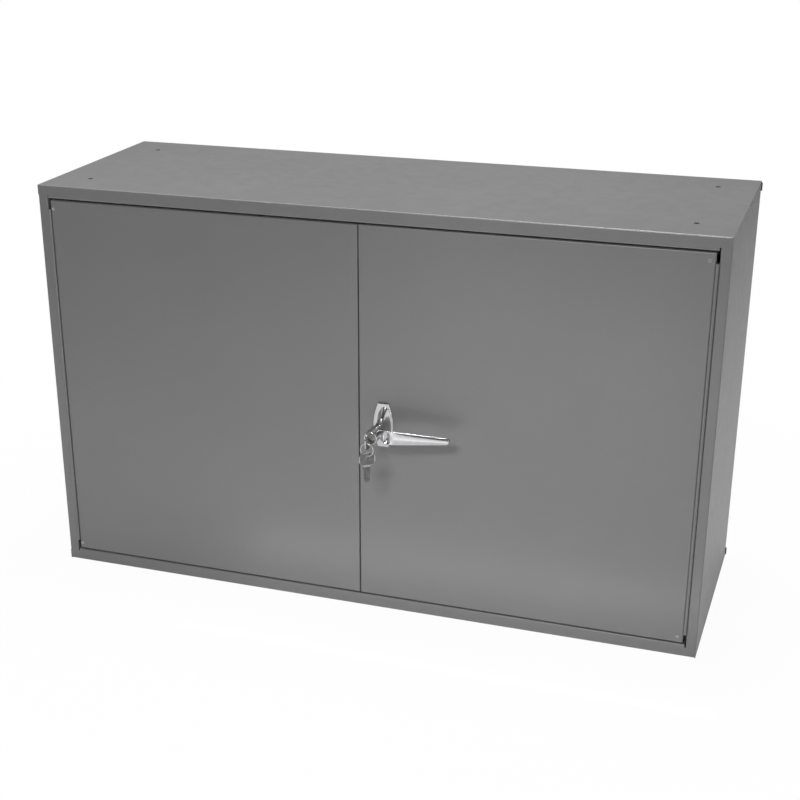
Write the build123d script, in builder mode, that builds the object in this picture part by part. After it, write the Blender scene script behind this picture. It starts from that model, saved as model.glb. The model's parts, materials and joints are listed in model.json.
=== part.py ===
from build123d import *
import os
from math import cos, pi, radians, sin, sqrt

# Tool cabinet with two doors on continuous hinges and a keyed L-handle.
# Millimetres. +X to the right, +Y to the back, +Z up; the doors face -Y.
# The origin is the centre of the carcass's underside.

os.makedirs("parts", exist_ok=True)

# ---------------------------------------------------------------- carcass
width = 896.0
height = 545.5
depth = 308.0
shell_sheet = 1.2
bend = 1.7  # outside radius of every fold

stile_width = 13.2
jamb_depth = 16.0
rail_height = 17.0  # top and bottom front flange between the stiles
rail_end_height = 13.0  # the same flange where it crosses a stile
slit_width = 1.5  # relief between the rail's fold and the stile
stop_depth = 17.0  # front face to the lip that stops the doors
stop_height = 8.0
rear_flange = 13.0
rear_tab = 1.5  # rear flange standing proud of the side wall
rear_tab_round = 2.2
weld_flange = 12.0
weld_flange_setback = 3.0
flat_gap = 0.6  # play between a flat panel and a fold beside it

bolt_spacing_x = 798.0
bolt_spacing_y = 200.0
bolt_hole_radius = 3.5

# ------------------------------------------------------------------ shelf
shelf_sheet = 1.0
shelf_top = 274.0
shelf_flange = 20.0
shelf_front_setback = 48.0
shelf_rear_play = 3.0
shelf_side_play = 1.3
standard_width = 16.0
standard_rise = 4.0
standard_sheet = 1.2
standard_length = 482.6
standard_front_setback = 76.0
standard_rear_setback = 60.0
slot_pitch = 25.4
slot_height = 13.0
slot_width = 3.2
clip_width = 12.0
clip_reach = 12.0
clip_sheet = 1.6
clip_hook_height = 9.0

# ------------------------------------------------------------------ doors
door_sheet = 1.2
door_thickness = 15.0
door_lip = 12.0
door_end_lip = 28.0
meeting_gap = 1.0
meeting_line = -2.6  # middle of the gap between the doors
left_top_gap = 2.4
right_top_gap = 2.1
bottom_gap = 1.6

# ----------------------------------------------------------------- hinges
pin_radius = 1.0
pin_clearance = 0.05
hinge_leaf_sheet = 0.95
hinge_length = 482.6
knuckle_pitch = 6.35
knuckle_play = 0.25
hinge_proud = 0.6  # barrel axis in front of the doors' outer face
leaf_depth = 12.0
leaf_notch_play = 0.4

# --------------------------------------------- corner gussets and rivets
gusset_size = 15.0
gusset_sheet = 1.5
rivet_radius = 1.4
rivet_head_radius = 2.3
rivet_head_height = 0.8
shoulder_reach = 0.7  # shares of the head where its dome turns
shoulder_rise = 0.72
rivet_tail_radius = 1.7
rivet_tail_height = 2.2
left_rivet_inset = 3.0
right_rivet_inset = 7.2
left_rivet_drop = 11.4
right_rivet_drop = 9.5
bottom_rivet_rise = 8.2

# ------------------------------------------------- handle: fixed escutcheon
handle_x = 32.0
handle_z = 269.2
plate_width = 27.0
plate_height = 60.5
plate_end_width = 14.0
plate_thickness = 3.2
plate_edge = 1.0
plate_drop = 2.1  # middle of the plate below the handle's axis
plate_shift = 1.2  # and to its left
skirt_foot = (23.5, 11.6)  # half height and half width of the skirt on the plate
skirt_shoulder = (20.5, 10.2)
skirt_shoulder_off = 5.4
waist_radius = 7.0
waist_off = 17.0
collar_radius = 7.2
stem_off = 30.6  # front end of the stem, off the door
journal_radius = 4.6
journal_end_off = 4.0
running_clearance = 0.06
boss_spacing = 42.0
screw_radius = 2.4
screw_hole_play = 0.35
screw_grip = 2.6
screw_head_radius = 4.4
screw_head_height = 3.0
washer_radius = 5.4
washer_thickness = 1.0
recess_width = 0.3  # breadth of a driver recess as a part of the head's radius

# ----------------------------------------------- handle: hub, lever, lock
face_gap = 0.3  # hub's rear face to the stem's end
hub_radius = 8.7
hub_off = 56.0  # front rim of the hub, off the door
hub_edge = 0.9
lever_reach = 97.6  # axis to the lever's tip
lever_root_reach = 17.5
lever_root_height = 18.6
lever_tip_height = 9.0
lever_tip_rise = 0.7  # middle of the tip above the axis
lever_root_off = 48.0  # front rim of the blade at its root
lever_tip_off = 38.5
lever_thickness = 6.0
lever_draft = 24.0  # degrees that the blade narrows by towards its rear face
dish_margin = 1.7
dish_depth = 2.0
dish_draft = 35.0
neck_at_hub = (6.0, 0.5)  # top and bottom of the neck above the axis, at the hub
neck_at_root = (8.6, -5.2)
neck_rear_off = 36.0
neck_setback = 2.4  # neck's front face behind the blade's front rim
neck_lap = lever_thickness / 2  # how far the neck runs into the blade
lock_radius = 6.6
lock_recess = 4.5
lock_length = 18.0
plug_radius = 5.0
plug_floor = 0.8
key_play = 0.15
dog_width = 4.4
dog_thickness = 4.0
dog_travel = 1.1
dog_off = 27.4
dog_heel = 2.7
dog_play = 0.12
dog_notch_depth = 1.25
tail_pin_radius = 0.9
tail_pin_play = 0.08

# -------------------------------------------------------- spindle and cam
spindle_side = 5.5
spindle_play = 0.1
spindle_off = 24.4  # inner end of the spindle's socket in the handle
cam_plate = 2.5
cam_front = 15.7  # cam's outer face behind the door's outer face
cam_boss_radius = 12.0
cam_lobe_radius = 5.4
cam_tongue_reach = 46.0
cam_tongue_width = 14.0
cam_pin_circle = 16.0
cam_pin_radius = 2.5
cam_pin_tenon_radius = 1.8
cam_pin_head_radius = 3.6
cam_pin_head_height = 1.2
door_hole_radius = 5.6
end_screw_radius = 1.7
end_screw_length = 9.0
end_screw_head_radius = 3.6
end_screw_head_height = 2.4
end_washer_radius = 5.2
end_washer_thickness = 1.0

# -------------------------------------------------------------- latch rods
rod_width = 12.0
rod_sheet = 3.0
rod_front = 19.0  # rod's outer face behind the door's outer face
rod_end_gap = 1.2  # drawn-back rod end to the stop lip's edge
yoke_wall = 1.7
yoke_pin_play = 0.6  # above and below the pin
yoke_end_play = 0.4
guide_sheet = 1.2
guide_play = 0.35
guide_height = 12.0
guide_foot = 9.0
guide_drop = 8.5  # guide's outer end inside the end lip's outer edge
guide_rivet_radius = 1.5
guide_rivet_head_radius = 2.6
guide_rivet_head_height = 0.8

# -------------------------------------------- magnetic catch and bumpers
catch_x = -62.0
catch_length = 46.0
catch_height = 13.0
catch_depth = 12.0
catch_drop = 1.0  # housing's top below the stop lip's edge
catch_wall = 1.8
catch_foot_sheet = 1.4
catch_foot_rise = 7.0
catch_end_solid = 14.0  # solid material at the housing's two ends
catch_screw_spacing = 34.0
catch_screw_radius = 1.4
catch_screw_head_radius = 2.6
catch_screw_head_height = 1.3
pole_thickness = 1.6
pole_proud = 0.5
strike_length = 40.0
strike_height = 11.0
strike_sheet = 1.2
strike_gap = 0.3
bumper_radius = 3.0
bumper_gap = 0.3
bumper_x = 96.0

# ------------------------------------------------------------ key and ring
key_sheet = 1.8
key_blade_height = 7.4
key_blade_length = 17.0  # inside the plug
key_collar_height = 9.0
bow_start = 5.3  # plug's face to the bow
bow_end = 23.3
bow_width = 21.6
bow_round = 8.2
key_hole_radius = 3.0
key_hole_reach = 17.5  # plug's face to the middle of the hole
key_bit_depth = 0.9
key_bit_count = 4
ring_wire_radius = 0.8
ring_radius = 8.3
ring_seat_play = 0.1
spare_twist = 52.0
spare_slack = 1.4  # further play where the turned key crosses the wire

# ============================================================ worked out
front = -depth / 2
back = depth / 2
half_width = width / 2
wall_inside = half_width - shell_sheet
jamb_x = half_width - stile_width
rail_half = jamb_x - slit_width
top_opening = height - rail_height
bottom_opening = rail_height
stop_edge_top = top_opening - stop_height
stop_edge_bottom = bottom_opening + stop_height
barrel_radius = pin_radius + pin_clearance + hinge_leaf_sheet
hinge_x = jamb_x - barrel_radius
hinge_y = front - hinge_proud
hinge_z = height / 2 - hinge_length / 2
door_hinge_edge = hinge_x - barrel_radius
left_meeting_edge = meeting_line - meeting_gap / 2
right_meeting_edge = meeting_line + meeting_gap / 2
rod_left_x = handle_x - cam_pin_circle * (1 + sqrt(0.5)) / 2
rod_right_x = handle_x + cam_pin_circle * (1 + sqrt(0.5)) / 2
hub_rear_off = stem_off + face_gap
plug_face_off = hub_off - lock_recess
lock_rear_off = plug_face_off - lock_length
ring_off = plug_face_off + key_hole_reach
ring_seat = key_hole_radius - ring_wire_radius - ring_seat_play
ring_top_z = handle_z - ring_seat
ring_centre_z = ring_top_z - ring_radius
spare_hole_z = ring_centre_z - ring_radius - ring_seat + spare_slack
front_plane = Plane((0, front, 0), x_dir=(1, 0, 0), z_dir=(0, -1, 0))


def off_door(off):
    """Plane parallel to the doors, off millimetres in front of them; its axes are X and Z."""
    return front_plane.offset(off)


def behind_door(inward):
    """Plane parallel to the doors, inward millimetres behind their outer face."""
    return front_plane.offset(-inward)


def nearness(vertex, point):
    """Distance from a vertex to a point, added up along x and y."""
    return abs(vertex.X - point[0]) + abs(vertex.Y - point[1])


def bent_strip(points, radius, sheet):
    """Cross-section of a folded sheet lying on the left of the given run of points."""
    with BuildSketch() as strip:
        with BuildLine() as skin:
            Polyline(*points)
            folds = skin.vertices().sort_by(lambda v: min(nearness(v, points[0]), nearness(v, points[-1])))
            fillet(folds[2:], radius)
            offset(amount=sheet, side=Side.LEFT)
        make_face()
    return strip.sketch


# ========================================================= carcass panels
def end_panel(mirrored):
    """Top panel, or the bottom panel as the same form turned over."""
    with BuildPart() as panel:
        full_fold = [
            (back, height - rear_flange),
            (back, height),
            (front, height),
            (front, height - rail_height),
            (front + stop_depth, height - rail_height),
            (front + stop_depth, stop_edge_top),
        ]
        with BuildSketch(Plane.YZ.offset(-rail_half)):
            add(bent_strip(full_fold, bend, shell_sheet))
        extrude(amount=2 * rail_half)
        end_fold = [
            (back, height - rear_flange),
            (back, height),
            (front, height),
            (front, height - rail_end_height),
        ]
        with BuildSketch(Plane.YZ.offset(-wall_inside), Plane.YZ.offset(rail_half)):
            add(bent_strip(end_fold, bend, shell_sheet))
        extrude(amount=wall_inside - rail_half)
        flange_y = depth - 2 * weld_flange_setback - 2 * shell_sheet
        with BuildSketch(Plane.XY.offset(height - weld_flange)):
            with GridLocations(2 * wall_inside - shell_sheet, 1, 2, 1):
                Rectangle(shell_sheet, flange_y)
        extrude(amount=weld_flange)
        tab_height = rear_flange - bend
        tab_width = half_width + rear_tab
        with BuildSketch(Plane.XZ.offset(-back)) as tabs:
            with Locations((0, height - bend - tab_height / 2)):
                Rectangle(2 * tab_width, tab_height)
                Rectangle(2 * wall_inside, tab_height, mode=Mode.SUBTRACT)
            outer_top = tabs.vertices().group_by(Axis.Y)[-1].filter_by(lambda v: abs(v.X) > half_width)
            fillet(outer_top, rear_tab_round)
        extrude(amount=shell_sheet)
        with Locations((0, 0, height)):
            with GridLocations(bolt_spacing_x, bolt_spacing_y, 2, 2):
                Hole(bolt_hole_radius, depth=2 * shell_sheet)
    shape = panel.part
    if mirrored:
        with BuildPart() as turned:
            mirror(shape, about=Plane.XY.offset(height / 2))
        shape = turned.part
    return shape


catch_screw_share = 0.36  # height of the catch's screws on the stop, as a share of it
catch_screw_z = stop_edge_top + stop_height * catch_screw_share
catch_screw_points = [
    (catch_x - catch_screw_spacing / 2, catch_screw_z),
    (catch_x + catch_screw_spacing / 2, catch_screw_z),
]

with BuildPart() as top_panel:
    add(end_panel(False))
    with BuildSketch(behind_door(stop_depth + 2 * shell_sheet)):
        with Locations(*catch_screw_points):
            Circle(catch_screw_radius)
    extrude(amount=3 * shell_sheet, mode=Mode.SUBTRACT)
top_panel.part.label = "top_panel"
export_step(top_panel.part, "parts/top_panel.step")

with BuildPart() as bottom_panel:
    add(end_panel(True))
bottom_panel.part.label = "bottom_panel"
export_step(bottom_panel.part, "parts/bottom_panel.step")

stile_height = height - 2 * rail_end_height

with BuildPart() as right_side:
    side_fold = [
        (jamb_x, front + jamb_depth),
        (jamb_x, front),
        (half_width, front),
        (half_width, back),
        (half_width - weld_flange, back),
    ]
    with BuildSketch(Plane.XY.offset(rail_end_height)):
        add(bent_strip(side_fold, bend, shell_sheet))
    extrude(amount=stile_height)
    with BuildSketch(Plane.XY):
        with Locations((half_width - shell_sheet / 2, -shell_sheet / 2)):
            Rectangle(shell_sheet, depth - shell_sheet)
    extrude(amount=rail_end_height)
    with BuildSketch(Plane.XY.offset(height - rail_end_height)):
        with Locations((half_width - shell_sheet / 2, -shell_sheet / 2)):
            Rectangle(shell_sheet, depth - shell_sheet)
    extrude(amount=rail_end_height)
right_side.part.label = "right_side"
export_step(right_side.part, "parts/right_side.step")

with BuildPart() as left_side:
    mirror(right_side.part, about=Plane.YZ)
left_side.part.label = "left_side"
export_step(left_side.part, "parts/left_side.step")

with BuildPart() as back_panel:
    back_gap = shell_sheet + flat_gap
    with BuildSketch(Plane.XZ.offset(-back + shell_sheet)):
        with Locations((0, height / 2)):
            Rectangle(width - 2 * back_gap, height - 2 * back_gap)
    extrude(amount=shell_sheet)
back_panel.part.label = "back_panel"
export_step(back_panel.part, "parts/back_panel.step")

# ============================================================ shelf set
standard_face_x = wall_inside - standard_rise
shelf_half = standard_face_x - shelf_side_play
shelf_front = front + shelf_front_setback
shelf_back = back - 2 * shell_sheet - shelf_rear_play
shelf_depth = shelf_back - shelf_front
shelf_mid_y = (shelf_front + shelf_back) / 2

with BuildPart() as shelf:
    with BuildSketch(Plane.XY.offset(shelf_top)):
        with Locations((0, shelf_mid_y)):
            Rectangle(2 * shelf_half, shelf_depth)
    extrude(amount=-shelf_flange)
    fillet(shelf.faces().sort_by(Axis.Z)[-1].edges(), bend)
    with BuildSketch(Plane.XY.offset(shelf_top - shelf_sheet)):
        with Locations((0, shelf_mid_y)):
            Rectangle(2 * (shelf_half - shelf_sheet), shelf_depth - 2 * shelf_sheet)
    extrude(amount=-shelf_flange, mode=Mode.SUBTRACT)
shelf.part.label = "shelf"
export_step(shelf.part, "parts/shelf.step")

standard_ys = [front + standard_front_setback, back - standard_rear_setback]
standard_z = height / 2 - standard_length / 2
slot_count = int(standard_length / slot_pitch)
slot_z0 = standard_z + (standard_length - (slot_count - 1) * slot_pitch) / 2
clip_z = shelf_top - shelf_flange  # the clips' upper face
clip_slot = round((clip_z - slot_z0) / slot_pitch)
clip_slot_z = slot_z0 + clip_slot * slot_pitch

with BuildPart() as right_shelf_standards:
    for y in standard_ys:
        with BuildSketch(Plane.XY.offset(standard_z)):
            with Locations((wall_inside - standard_rise / 2, y)):
                Rectangle(standard_rise, standard_width)
            with Locations((wall_inside - (standard_rise - standard_sheet) / 2, y)):
                Rectangle(
                    standard_rise - standard_sheet,
                    standard_width - 2 * standard_sheet,
                    mode=Mode.SUBTRACT,
                )
        extrude(amount=standard_length)
        slot_mid = slot_z0 + (slot_count - 1) * slot_pitch / 2
        with BuildSketch(Plane.YZ.offset(standard_face_x)):
            with Locations((y, slot_mid)):
                with GridLocations(1, slot_pitch, 1, slot_count):
                    Rectangle(slot_width, slot_height)
        extrude(amount=standard_sheet, mode=Mode.SUBTRACT)
right_shelf_standards.part.label = "right_shelf_standards"
export_step(right_shelf_standards.part, "parts/right_shelf_standards.step")

with BuildPart() as left_shelf_standards:
    mirror(right_shelf_standards.part, about=Plane.YZ)
left_shelf_standards.part.label = "left_shelf_standards"
export_step(left_shelf_standards.part, "parts/left_shelf_standards.step")

clip_tongue = slot_width - 2 * key_play
with BuildPart() as shelf_clips:
    for y in standard_ys:
        # ledge under the shelf, plate against the standard, hook through the slot
        with BuildSketch(Plane.XY.offset(clip_z)):
            with Locations((standard_face_x - clip_reach / 2, y)):
                Rectangle(clip_reach, clip_width)
        extrude(amount=-clip_sheet)
        plate_drop_z = clip_z - (clip_slot_z - slot_height / 2)
        with BuildSketch(Plane.XY.offset(clip_z)):
            with Locations((standard_face_x - clip_sheet / 2, y)):
                Rectangle(clip_sheet, clip_width)
        extrude(amount=-(plate_drop_z + clip_hook_height))
        hook_z = clip_slot_z - slot_height / 2
        with BuildSketch(Plane.XY.offset(hook_z)):
            with Locations((standard_face_x + standard_sheet / 2, y)):
                Rectangle(standard_sheet + 2 * key_play, clip_tongue)
        extrude(amount=clip_hook_height / 2)
        with BuildSketch(Plane.XY.offset(hook_z - clip_hook_height / 2)):
            hook_x = standard_face_x + standard_sheet + key_play
            with Locations((hook_x + clip_sheet / 2, y)):
                Rectangle(clip_sheet, clip_tongue)
        extrude(amount=clip_hook_height)
    mirror(about=Plane.YZ)
shelf_clips.part.label = "shelf_clips"
export_step(shelf_clips.part, "parts/shelf_clips.step")


# ================================================================= doors
def door_pan(hinge_edge, meeting_edge, bottom, top):
    """Folded pan: outer skin, four edge flanges and the lips turned in behind them."""
    pan_width = abs(meeting_edge - hinge_edge)
    pan_height = top - bottom
    centre = ((hinge_edge + meeting_edge) / 2, (top + bottom) / 2)
    with BuildPart() as pan:
        with BuildSketch(behind_door(door_thickness)):
            with Locations(centre):
                Rectangle(pan_width, pan_height)
        extrude(amount=door_thickness)
        fillet(pan.faces().sort_by(Axis.Y)[0].edges(), bend)
        with BuildSketch(behind_door(door_thickness - door_sheet)):
            with Locations(centre):
                Rectangle(pan_width - 2 * door_sheet, pan_height - 2 * door_sheet)
        extrude(amount=door_thickness - 2 * door_sheet, mode=Mode.SUBTRACT)
        with BuildSketch(behind_door(door_thickness)):
            with Locations(centre):
                Rectangle(pan_width - 2 * door_lip, pan_height - 2 * door_end_lip)
        extrude(amount=2 * door_sheet, mode=Mode.SUBTRACT)
    return pan.part


door_bottom = bottom_opening + bottom_gap
left_door_top = top_opening - left_top_gap
right_door_top = top_opening - right_top_gap
plate_x = handle_x - plate_shift
plate_z = handle_z - plate_drop
screw_zs = [plate_z - boss_spacing / 2, plate_z + boss_spacing / 2]
left_rivet_x = -(door_hinge_edge - left_rivet_inset)
right_rivet_x = door_hinge_edge - right_rivet_inset
left_rivet_points = [
    (left_rivet_x, door_bottom + bottom_rivet_rise),
    (left_rivet_x, left_door_top - left_rivet_drop),
]
right_rivet_points = [
    (right_rivet_x, door_bottom + bottom_rivet_rise),
    (right_rivet_x, right_door_top - right_rivet_drop),
]
guide_spread = rod_width / 2 + guide_play + guide_sheet + guide_foot / 2
top_guide_z = right_door_top - door_end_lip + guide_drop
bottom_guide_z = door_bottom + door_end_lip - guide_drop
guide_points = [
    (x, z)
    for rod_x, z in ((rod_left_x, top_guide_z), (rod_right_x, bottom_guide_z))
    for x in (rod_x - guide_spread, rod_x + guide_spread)
]
strike_z = stop_edge_top - catch_drop - catch_height / 2
strike_points = [(catch_x - strike_length / 3, strike_z), (catch_x + strike_length / 3, strike_z)]

with BuildPart() as left_door:
    add(door_pan(-door_hinge_edge, left_meeting_edge, door_bottom, left_door_top))
    with BuildSketch(behind_door(2 * door_sheet)):
        with Locations(*left_rivet_points):
            Circle(rivet_radius)
    extrude(amount=3 * door_sheet, mode=Mode.SUBTRACT)
    with BuildSketch(behind_door(door_thickness + door_sheet)):
        with Locations(*strike_points):
            Circle(guide_rivet_radius)
    extrude(amount=3 * door_sheet, mode=Mode.SUBTRACT)
left_door.part.label = "left_door"
export_step(left_door.part, "parts/left_door.step")

with BuildPart() as right_door:
    add(door_pan(door_hinge_edge, right_meeting_edge, door_bottom, right_door_top))
    with BuildSketch(behind_door(2 * door_sheet)):
        with Locations(*right_rivet_points):
            Circle(rivet_radius)
        with Locations((handle_x, handle_z)):
            Circle(door_hole_radius)
        with Locations(*[(plate_x, z) for z in screw_zs]):
            Circle(screw_radius + screw_hole_play)
    extrude(amount=3 * door_sheet, mode=Mode.SUBTRACT)
    with BuildSketch(behind_door(door_thickness + door_sheet)):
        with Locations(*guide_points):
            Circle(guide_rivet_radius)
    extrude(amount=3 * door_sheet, mode=Mode.SUBTRACT)
right_door.part.label = "right_door"
export_step(right_door.part, "parts/right_door.step")


# ================================================================ hinges
knuckle_count = round(hinge_length / knuckle_pitch)


def hinge_leaf(leaf_side, first):
    """Right-hand leaf: a flat plate rolled into every second knuckle from first on."""
    bore = pin_radius + pin_clearance
    reach = barrel_radius + leaf_notch_play
    with BuildPart() as leaf:
        with BuildSketch(Plane.XY.offset(hinge_z)):
            with Locations((hinge_x, hinge_y)):
                Circle(barrel_radius)
            leaf_x = hinge_x + leaf_side * (barrel_radius - hinge_leaf_sheet / 2)
            with Locations((leaf_x, hinge_y + leaf_depth / 2)):
                Rectangle(hinge_leaf_sheet, leaf_depth)
            with Locations((hinge_x, hinge_y)):
                Circle(bore, mode=Mode.SUBTRACT)
        extrude(amount=hinge_length)
        cuts = [i for i in range(knuckle_count) if i % 2 != first]
        with Locations(*[(hinge_x, hinge_y, hinge_z + (i + 0.5) * knuckle_pitch) for i in cuts]):
            Box(2 * reach, 2 * reach, knuckle_pitch + knuckle_play, mode=Mode.SUBTRACT)
    return leaf.part


with BuildPart() as right_hinge_frame_leaf:
    add(hinge_leaf(1, 0))
right_hinge_frame_leaf.part.label = "right_hinge_frame_leaf"
export_step(right_hinge_frame_leaf.part, "parts/right_hinge_frame_leaf.step")

with BuildPart() as right_hinge_door_leaf:
    add(hinge_leaf(-1, 1))
right_hinge_door_leaf.part.label = "right_hinge_door_leaf"
export_step(right_hinge_door_leaf.part, "parts/right_hinge_door_leaf.step")

with BuildPart() as right_hinge_pin:
    with BuildSketch(Plane.XY.offset(hinge_z)):
        with Locations((hinge_x, hinge_y)):
            Circle(pin_radius)
    extrude(amount=hinge_length)
right_hinge_pin.part.label = "right_hinge_pin"
export_step(right_hinge_pin.part, "parts/right_hinge_pin.step")

with BuildPart() as left_hinge_frame_leaf:
    mirror(right_hinge_frame_leaf.part, about=Plane.YZ)
left_hinge_frame_leaf.part.label = "left_hinge_frame_leaf"
export_step(left_hinge_frame_leaf.part, "parts/left_hinge_frame_leaf.step")

with BuildPart() as left_hinge_door_leaf:
    mirror(right_hinge_door_leaf.part, about=Plane.YZ)
left_hinge_door_leaf.part.label = "left_hinge_door_leaf"
export_step(left_hinge_door_leaf.part, "parts/left_hinge_door_leaf.step")

with BuildPart() as left_hinge_pin:
    mirror(right_hinge_pin.part, about=Plane.YZ)
left_hinge_pin.part.label = "left_hinge_pin"
export_step(left_hinge_pin.part, "parts/left_hinge_pin.step")


# =================================================== gussets and rivets
def corner_gussets(hinge_edge, toward_meeting, top):
    """Angles inside the pan's two hinge-side corners, drilled for their rivets."""
    inner_x = hinge_edge + toward_meeting * door_sheet
    mid_x = inner_x + toward_meeting * gusset_size / 2
    with BuildPart() as gussets:
        for edge_z, inward in ((door_bottom, 1), (top, -1)):
            z = edge_z + inward * (door_sheet + gusset_size / 2)
            with Locations((mid_x, front + door_sheet + gusset_sheet / 2, z)):
                Box(gusset_size, gusset_sheet, gusset_size)
            flange_z = edge_z + inward * (door_sheet + gusset_sheet / 2)
            leg = door_thickness - 2 * door_sheet
            with Locations((mid_x, front + door_sheet + leg / 2, flange_z)):
                Box(gusset_size, leg, gusset_sheet)
    return gussets.part


def corner_rivets(points):
    """Blind rivets: domed head, shank through skin and gusset, set tail."""
    grip = door_sheet + gusset_sheet
    with BuildPart() as rivets:
        for x, z in points:
            with BuildSketch(Plane.XY) as profile:
                with BuildLine():
                    dome = ThreePointArc(
                        (0, rivet_head_height),
                        (rivet_head_radius * shoulder_reach, rivet_head_height * shoulder_rise),
                        (rivet_head_radius, 0),
                    )
                    Polyline(
                        dome @ 1,
                        (rivet_radius, 0),
                        (rivet_radius, -grip),
                        (rivet_tail_radius, -grip),
                        (rivet_tail_radius, -grip - rivet_tail_height),
                        (0, -grip - rivet_tail_height),
                        (0, rivet_head_height),
                    )
                make_face()
            rivet = revolve(profile.sketch, Axis.Y, mode=Mode.PRIVATE)
            add(Location((x, front, z), (180, 0, 0)) * rivet)
    return rivets.part


with BuildPart() as left_door_gussets:
    add(corner_gussets(-door_hinge_edge, 1, left_door_top))
    with BuildSketch(behind_door(2 * door_sheet + gusset_sheet)):
        with Locations(*left_rivet_points):
            Circle(rivet_radius)
    extrude(amount=3 * door_sheet, mode=Mode.SUBTRACT)
left_door_gussets.part.label = "left_door_gussets"
export_step(left_door_gussets.part, "parts/left_door_gussets.step")

with BuildPart() as right_door_gussets:
    add(corner_gussets(door_hinge_edge, -1, right_door_top))
    with BuildSketch(behind_door(2 * door_sheet + gusset_sheet)):
        with Locations(*right_rivet_points):
            Circle(rivet_radius)
    extrude(amount=3 * door_sheet, mode=Mode.SUBTRACT)
right_door_gussets.part.label = "right_door_gussets"
export_step(right_door_gussets.part, "parts/right_door_gussets.step")

with BuildPart() as left_door_rivets:
    add(corner_rivets(left_rivet_points))
left_door_rivets.part.label = "left_door_rivets"
export_step(left_door_rivets.part, "parts/left_door_rivets.step")

with BuildPart() as right_door_rivets:
    add(corner_rivets(right_rivet_points))
right_door_rivets.part.label = "right_door_rivets"
export_step(right_door_rivets.part, "parts/right_door_rivets.step")


# ============================================================ escutcheon
def plate_plane(off):
    """Plane parallel to the doors, off millimetres in front, centred on the escutcheon's plate."""
    return Plane((plate_x, front - off, plate_z), x_dir=(1, 0, 0), z_dir=(0, -1, 0))


def axis_plane(off):
    """The same, centred on the handle's axis."""
    return Plane((handle_x, front - off, handle_z), x_dir=(1, 0, 0), z_dir=(0, -1, 0))


with BuildPart() as escutcheon:
    half_end = plate_end_width / 2
    half_tall = plate_height / 2
    half_wide = plate_width / 2
    with BuildSketch(plate_plane(0)):
        with BuildLine():
            Line((-half_end, half_tall), (half_end, half_tall))
            ThreePointArc((half_end, half_tall), (half_wide, 0), (half_end, -half_tall))
            Line((half_end, -half_tall), (-half_end, -half_tall))
            ThreePointArc((-half_end, -half_tall), (-half_wide, 0), (-half_end, half_tall))
        make_face()
    extrude(amount=plate_thickness)
    chamfer(escutcheon.faces().sort_by(Axis.Y)[0].edges(), plate_edge)
    with BuildSketch(plate_plane(plate_thickness - plate_edge)):
        Ellipse(skirt_foot[1], skirt_foot[0])
    with BuildSketch(plate_plane(skirt_shoulder_off)):
        Ellipse(skirt_shoulder[1], skirt_shoulder[0])
    with BuildSketch(axis_plane(waist_off)):
        Circle(waist_radius)
    loft()
    with BuildSketch(axis_plane(waist_off)):
        Circle(waist_radius)
    with BuildSketch(axis_plane(stem_off)):
        Circle(collar_radius)
    loft()
    with BuildSketch(axis_plane(0)):
        Circle(journal_radius + running_clearance)
    extrude(amount=stem_off, mode=Mode.SUBTRACT)
    with BuildSketch(plate_plane(0)):
        with GridLocations(1, boss_spacing, 1, 2):
            Circle(screw_radius)
    extrude(amount=screw_grip, mode=Mode.SUBTRACT)
    # two notches for the locking dog, one above the axis and one to its right
    notch_reach = journal_radius + dog_notch_depth
    notch_width = dog_width + 4 * dog_play
    with BuildSketch(axis_plane(dog_off - dog_thickness / 2 - 2 * dog_play)):
        with Locations((0, notch_reach / 2)):
            Rectangle(notch_width, notch_reach)
        with Locations((notch_reach / 2, 0)):
            Rectangle(notch_reach, notch_width)
    extrude(amount=dog_thickness + 4 * dog_play, mode=Mode.SUBTRACT)
escutcheon.part.label = "escutcheon"
export_step(escutcheon.part, "parts/escutcheon.step")

with BuildPart() as escutcheon_washers:
    with BuildSketch(behind_door(door_sheet + washer_thickness)):
        with Locations(*[(plate_x, z) for z in screw_zs]):
            Circle(washer_radius)
            Circle(screw_radius + screw_hole_play, mode=Mode.SUBTRACT)
    extrude(amount=washer_thickness)
escutcheon_washers.part.label = "escutcheon_washers"
export_step(escutcheon_washers.part, "parts/escutcheon_washers.step")

with BuildPart() as escutcheon_screws:
    head_seat = door_sheet + washer_thickness
    with BuildSketch(behind_door(head_seat)):
        with Locations(*[(plate_x, z) for z in screw_zs]):
            Circle(screw_radius)
    extrude(amount=head_seat + screw_grip)
    with BuildSketch(behind_door(head_seat + screw_head_height)):
        with Locations(*[(plate_x, z) for z in screw_zs]):
            Circle(screw_head_radius)
    extrude(amount=screw_head_height)
    head_rims = escutcheon_screws.faces().group_by(Axis.Y)[-1].edges()
    fillet(head_rims, screw_head_height / 3)
    with BuildSketch(behind_door(head_seat + screw_head_height)):
        with Locations(*[(plate_x, z) for z in screw_zs]):
            Rectangle(screw_head_radius, screw_head_radius * recess_width)
            Rectangle(screw_head_radius * recess_width, screw_head_radius)
    extrude(amount=screw_head_height / 2, mode=Mode.SUBTRACT)
escutcheon_screws.part.label = "escutcheon_screws"
export_step(escutcheon_screws.part, "parts/escutcheon_screws.step")

# ================================================================ handle
eccentric = dog_travel / sqrt(2)  # tail pin off the plug's axis
pin_shift = -eccentric * sqrt(0.5)
lever_run = lever_reach - lever_root_reach
lever_sink = lever_root_off - lever_tip_off
blade_length = sqrt(lever_run**2 + lever_sink**2)
blade_plane = Plane(
    (handle_x + lever_root_reach, front - lever_root_off, handle_z),
    x_dir=(lever_run, lever_sink, 0),
    z_dir=(lever_sink, -lever_run, 0),
)


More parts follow.
